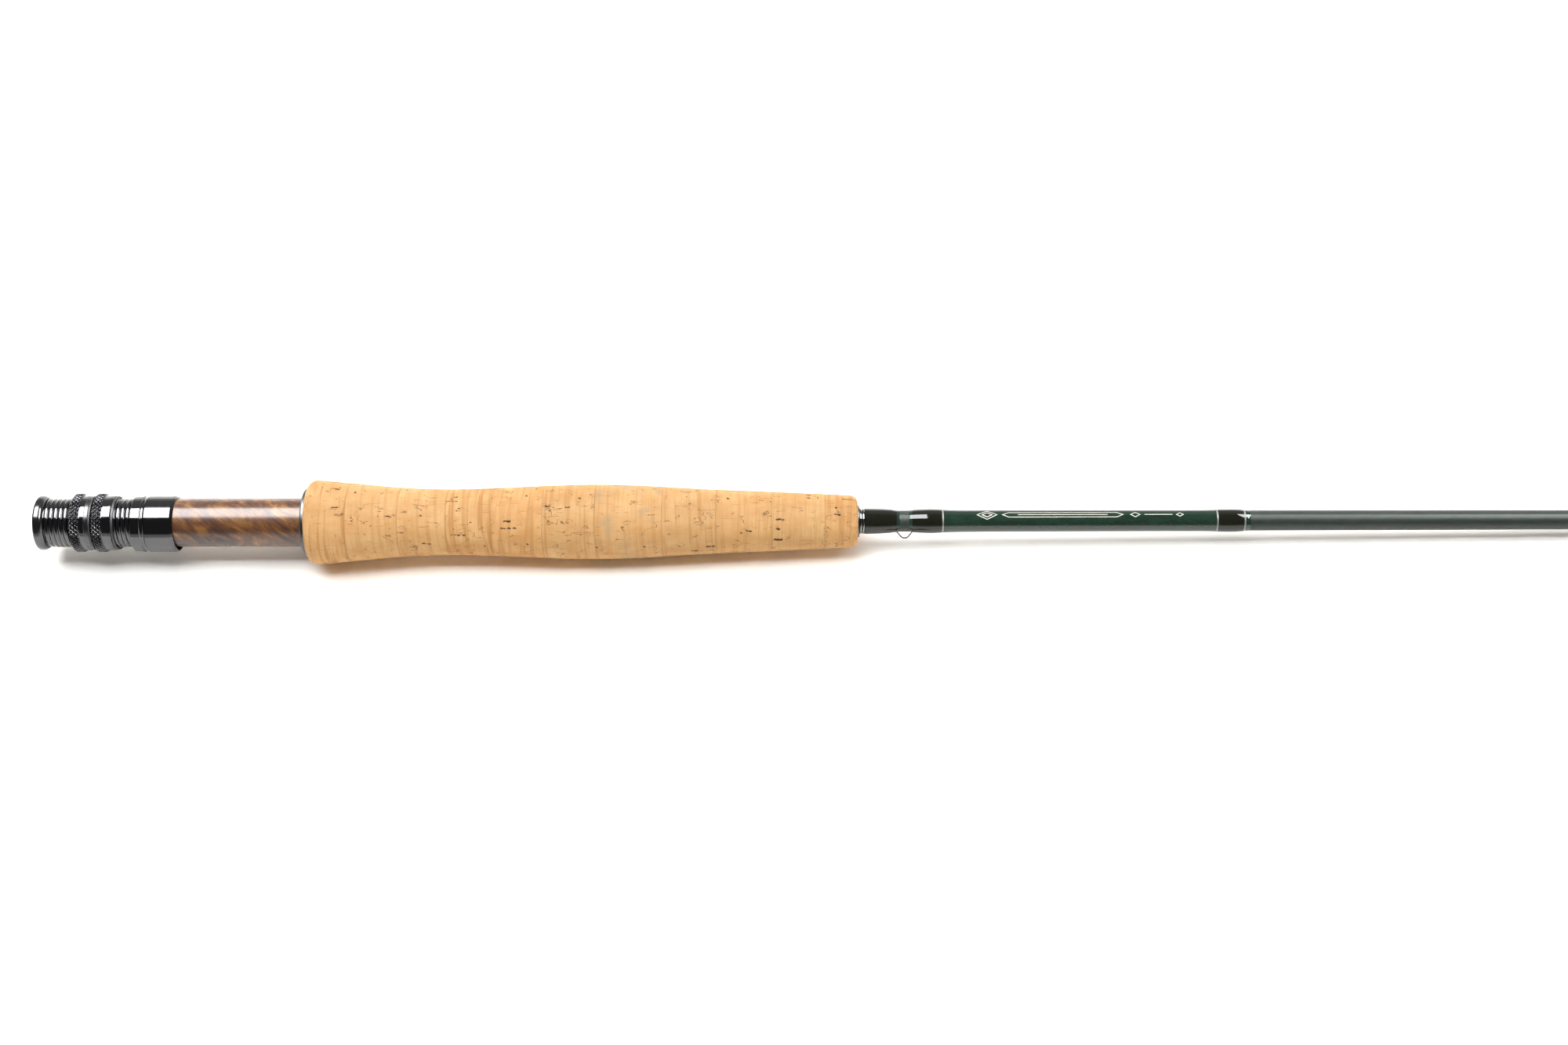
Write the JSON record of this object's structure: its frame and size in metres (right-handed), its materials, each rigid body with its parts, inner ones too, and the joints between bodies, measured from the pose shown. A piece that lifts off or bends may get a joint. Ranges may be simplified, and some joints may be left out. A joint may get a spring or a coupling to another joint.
{
  "type": "fly rod butt section",
  "caption": "Butt section of a sectional fly rod: screw-locked reel seat with burl insert, cork grip, hook keeper, tapered blank and male ferrule.",
  "frame": {"origin": "centre of the flat butt face, on the rod's axis", "axes": "+X along the rod from butt to tip, +Z the top of the rod where the label is read, -Z the reel side, -Y the side of the hook keeper"},
  "size_m": [0.724, 0.0274, 0.0274],
  "materials": {
    "blank_graphite": "satin, dark grey-green",
    "black_anodised": "polished, anodised black",
    "burl_wood": "clear gloss lacquer over burl",
    "cork": "bare sanded cork, matte",
    "nickel_silver": "polished",
    "keeper_wire": "bright wire",
    "wrap_thread": "nylon thread under clear gloss finish",
    "metallic_trim": "metallic thread under clear gloss finish",
    "label_gloss": "deep green under clear gloss finish",
    "wrap_finish": "clear gloss finish",
    "dot_paint": "paint",
    "arbor_foam": "rigid foam",
    "washer_nylon": "moulded nylon"
  },
  "bodies": {
    "rod": {"blank": "blank_graphite", "butt_cap": "black_anodised", "threaded_barrel": "black_anodised", "wood_insert": "burl_wood", "cork_hood": "black_anodised", "winding_check_plate": "black_anodised", "winding_check": "nickel_silver", "hook_keeper": "keeper_wire", "keeper_wrap_rear": "wrap_thread", "keeper_wrap_front": "wrap_thread", "keeper_trim_band": "metallic_trim", "label_coat": "label_gloss", "label_trim_band_rear": "metallic_trim", "label_wrap": "wrap_thread", "label_trim_band_front": "metallic_trim", "finish_lip": "wrap_finish", "alignment_dot": "dot_paint", "shim_rear": "arbor_foam", "shim_middle": "arbor_foam", "shim_front": "arbor_foam", "cork_ring_01": "cork", "cork_ring_02": "cork", "cork_ring_03": "cork", "cork_ring_04": "cork", "cork_ring_05": "cork", "cork_ring_06": "cork", "cork_ring_07": "cork", "cork_ring_08": "cork", "cork_ring_09": "cork", "cork_ring_10": "cork", "cork_ring_11": "cork"},
    "rear_nut_carrier": {"rear_slip_washer": "washer_nylon"},
    "rear_nut": {"rear_lock_nut": "black_anodised"},
    "front_nut_carrier": {"front_slip_washer": "washer_nylon"},
    "front_nut": {"front_lock_nut": "black_anodised"},
    "hood": {"sliding_hood": "black_anodised"}
  },
  "joints": [
    {"name": "rear_nut_travel", "type": "slide", "parent": "rod", "child": "rear_nut_carrier", "axis": [1, 0, 0], "range_m": [-0.00847, 0]},
    {"name": "rear_nut_spin", "type": "hinge", "parent": "rear_nut_carrier", "child": "rear_nut", "pos_m": [0.0148, 0, 0], "axis": [1, 0, 0], "range_deg": [-1980, 0]},
    {"name": "front_nut_travel", "type": "slide", "parent": "rod", "child": "front_nut_carrier", "axis": [1, 0, 0], "range_m": [0, 0.00509]},
    {"name": "front_nut_spin", "type": "hinge", "parent": "front_nut_carrier", "child": "front_nut", "pos_m": [0.022, 0, 0], "axis": [1, 0, 0], "range_deg": [0, 1188]},
    {"name": "hood_slide", "type": "slide", "parent": "rod", "child": "hood", "axis": [1, 0, 0], "range_m": [0, 0.041]}
  ],
  "couplings": [
    {"joint": "rear_nut_travel", "follows": "rear_nut_spin", "m_per_rad": 0.0002451},
    {"joint": "front_nut_travel", "follows": "front_nut_spin", "m_per_rad": 0.0002451}
  ]
}
